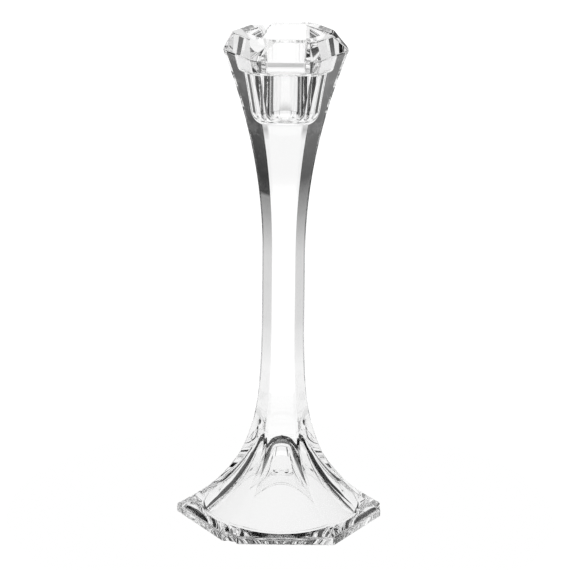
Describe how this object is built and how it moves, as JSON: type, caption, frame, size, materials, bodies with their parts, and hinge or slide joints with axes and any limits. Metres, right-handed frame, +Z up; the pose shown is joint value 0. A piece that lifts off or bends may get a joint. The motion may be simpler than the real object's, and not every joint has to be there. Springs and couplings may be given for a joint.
{
  "type": "candlestick",
  "caption": "Tall clear glass candlestick: hexagonal candle cup with a notched rim, slim solid hexagonal stem and a hollow flared hexagonal foot.",
  "frame": {"origin": "on the candlestick's axis, in the plane of the flat rim that it stands on", "axes": "+Z up along the axis, from the foot to the candle; one of the six wide faces looks along -Y, and +X runs out through a notched corner"},
  "size_m": [0.1036, 0.0924, 0.25],
  "materials": {
    "clear_crystal": "fire-polished, colourless"
  },
  "bodies": {
    "root": {"foot": "clear_crystal", "stem": "clear_crystal", "candle_cup": "clear_crystal"}
  },
  "joints": []
}
